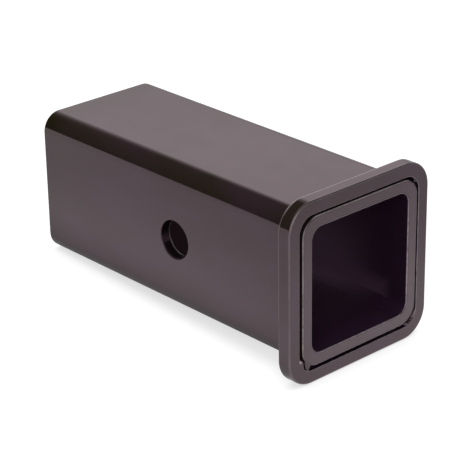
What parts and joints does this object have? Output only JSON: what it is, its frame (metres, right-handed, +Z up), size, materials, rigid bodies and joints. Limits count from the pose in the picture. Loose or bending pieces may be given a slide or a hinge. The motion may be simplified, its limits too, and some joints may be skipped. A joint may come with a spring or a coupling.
{
  "type": "hitch adapter sleeve",
  "caption": "Square steel sleeve with a flat collar at its mouth and a cross hole for a pin, which slides into a large hitch receiver and takes a smaller square shank.",
  "frame": {"origin": "centre of the pin hole, on the tube's axis", "axes": "+X along the tube's axis and out of its mouth, +Y across along the pin hole, +Z up"},
  "size_m": [0.159, 0.0772, 0.0771],
  "materials": {
    "black_coat": "semi-gloss black powder coat over steel, with a faint brown cast",
    "coated_weld": "the same black coat over a rough weld bead"
  },
  "bodies": {
    "root": {"sleeve_tube": "black_coat", "collar": "black_coat", "weld_top_left": "coated_weld", "weld_top_right": "coated_weld", "weld_bottom_left": "coated_weld", "weld_bottom_right": "coated_weld"}
  },
  "joints": []
}
